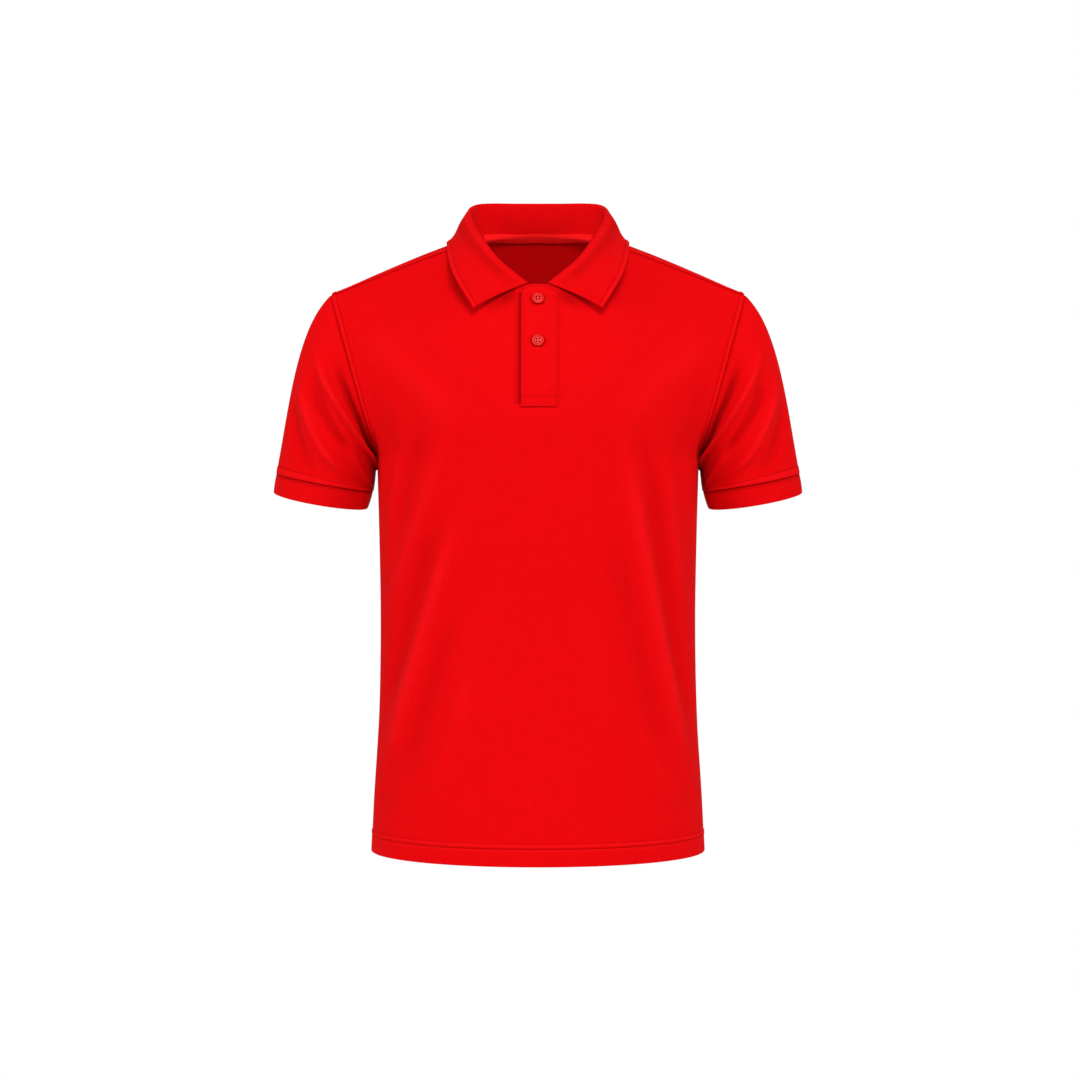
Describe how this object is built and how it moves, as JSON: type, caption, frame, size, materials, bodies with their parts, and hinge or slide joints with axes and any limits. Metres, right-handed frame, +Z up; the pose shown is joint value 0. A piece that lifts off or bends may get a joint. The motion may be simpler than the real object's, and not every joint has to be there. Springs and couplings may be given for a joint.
{
  "type": "polo shirt",
  "caption": "Red short-sleeved polo shirt in knitted pique, slim men's cut, with rib collar and cuffs and a buttoned placket, filled out as if worn.",
  "frame": {"origin": "middle of the neck opening at the height of the side neck points, where the wearer holds the shirt up", "axes": "+Z up towards the collar, +X towards the wearer's left, the front faces -Y"},
  "size_m": [0.5914, 0.253, 0.7324],
  "materials": {
    "pique_knit": "matt knitted cotton with a fine raised texture",
    "rib_knit": "matt fine rib knit",
    "button": "dyed polyester, softly glossy"
  },
  "bodies": {
    "root": {"front_panel": "pique_knit", "back_panel": "pique_knit", "sleeve_left": "pique_knit", "sleeve_right": "pique_knit", "placket_under": "pique_knit", "placket_top": "pique_knit", "collar": "rib_knit", "neck_tape": "rib_knit", "cuff_left": "rib_knit", "cuff_right": "rib_knit", "button_top": "button", "button_lower": "button"}
  },
  "joints": []
}
